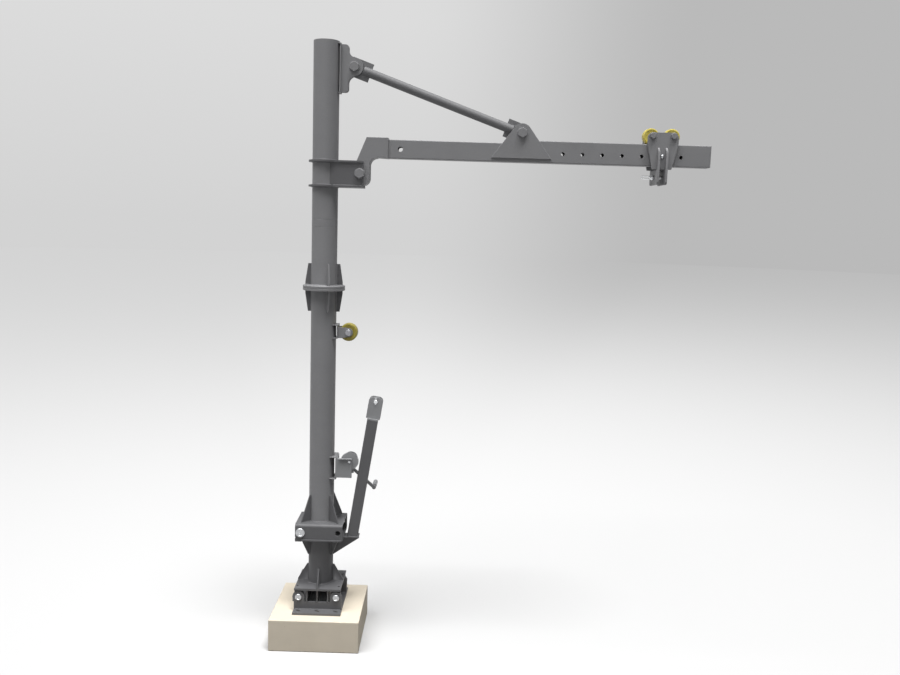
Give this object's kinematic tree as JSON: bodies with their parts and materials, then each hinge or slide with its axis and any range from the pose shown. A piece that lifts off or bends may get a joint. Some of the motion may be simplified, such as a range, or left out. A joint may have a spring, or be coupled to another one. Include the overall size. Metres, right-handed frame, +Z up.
{
  "type": "tilting and slewing davit arm",
  "caption": "Tilting, slewing steel davit on a concrete plinth, with a tied horizontal arm, a rail trolley with a hanger pin, a rope winch, a guide roller and a gin pole.",
  "frame": {"origin": "centre of the plinth's underside, on the mast's axis", "axes": "+Z up along the mast, +X along the arm towards the trolley, +Y away from the side that the pin heads show on"},
  "size_m": [2.325, 0.5, 3.32],
  "materials": {
    "painted_steel": "satin grey powder coat",
    "dark_painted_steel": "satin dark grey powder coat",
    "light_painted_steel": "satin light grey powder coat",
    "zinc_plated_steel": "bright zinc plate",
    "polyurethane": "cast, satin olive yellow",
    "concrete": "smooth cast concrete"
  },
  "bodies": {
    "base": {"plinth": "concrete", "foot_bracket": "dark_painted_steel", "foot_pin_left": "zinc_plated_steel", "foot_pin_right": "zinc_plated_steel", "stub_foot": "dark_painted_steel", "stub_tube": "dark_painted_steel", "stub_head": "dark_painted_steel", "pole_bracket": "dark_painted_steel", "gin_pole": "dark_painted_steel", "pole_clevis": "light_painted_steel", "pole_pin": "zinc_plated_steel", "tilt_pin": "zinc_plated_steel"},
    "mast": {"mast_foot": "dark_painted_steel", "lower_mast_tube": "painted_steel", "lower_flange": "painted_steel", "upper_flange": "painted_steel", "middle_mast_tube": "painted_steel", "swivel_ring": "painted_steel", "swivel_spigot": "zinc_plated_steel", "roller_bracket": "painted_steel", "roller_axle": "zinc_plated_steel", "winch_bracket": "painted_steel", "winch_frame": "light_painted_steel"},
    "boom": {"upper_mast_tube": "painted_steel", "arm_collar": "dark_painted_steel", "arm_pin": "painted_steel", "arm_root": "painted_steel", "arm_inner_section": "painted_steel", "arm_rail": "painted_steel", "rail_end_cap": "painted_steel", "arm_tie_bracket": "painted_steel", "arm_tie_pin": "painted_steel", "mast_tie_bracket": "painted_steel", "mast_tie_pin": "painted_steel", "tie_rod": "painted_steel"},
    "trolley": {"trolley_plates": "painted_steel", "trolley_axles": "painted_steel", "trolley_hanger": "painted_steel", "hanger_pin": "zinc_plated_steel"},
    "left_roller": {"left_trolley_roller": "polyurethane"},
    "right_roller": {"right_trolley_roller": "polyurethane"},
    "guide_roller": {"guide_roller": "polyurethane"},
    "drum": {"winch_drum": "light_painted_steel", "winch_gear": "light_painted_steel"},
    "crank": {"winch_crank": "light_painted_steel"}
  },
  "joints": [
    {"name": "mast_tilt", "type": "hinge", "parent": "base", "child": "mast", "pos_m": [-0.1, 0, 0.635], "axis": [0, 1, 0], "range_deg": [-90, 0]},
    {"name": "mast_slew", "type": "hinge", "parent": "mast", "child": "boom", "pos_m": [0, 0, 2.377], "axis": [0, 0, 1], "continuous": true},
    {"name": "trolley_travel", "type": "slide", "parent": "boom", "child": "trolley", "axis": [1, 0, 0], "range_m": [-0.5285, 0.1057]},
    {"name": "left_roller_spin", "type": "hinge", "parent": "trolley", "child": "left_roller", "pos_m": [1.7525, 0, 2.8723], "axis": [0, 1, 0], "continuous": true},
    {"name": "right_roller_spin", "type": "hinge", "parent": "trolley", "child": "right_roller", "pos_m": [1.8645, 0, 2.8723], "axis": [0, 1, 0], "continuous": true},
    {"name": "guide_roller_spin", "type": "hinge", "parent": "mast", "child": "guide_roller", "pos_m": [0.142, 0, 1.761], "axis": [0, 1, 0], "continuous": true},
    {"name": "crank_turn", "type": "hinge", "parent": "mast", "child": "crank", "pos_m": [0.15209, 0, 0.96962], "axis": [0, 1, 0], "continuous": true},
    {"name": "drum_turn", "type": "hinge", "parent": "mast", "child": "drum", "pos_m": [0.161, 0, 1.033], "axis": [0, 1, 0], "continuous": true}
  ],
  "couplings": [
    {"joint": "drum_turn", "follows": "crank_turn", "ratio": -0.28}
  ]
}
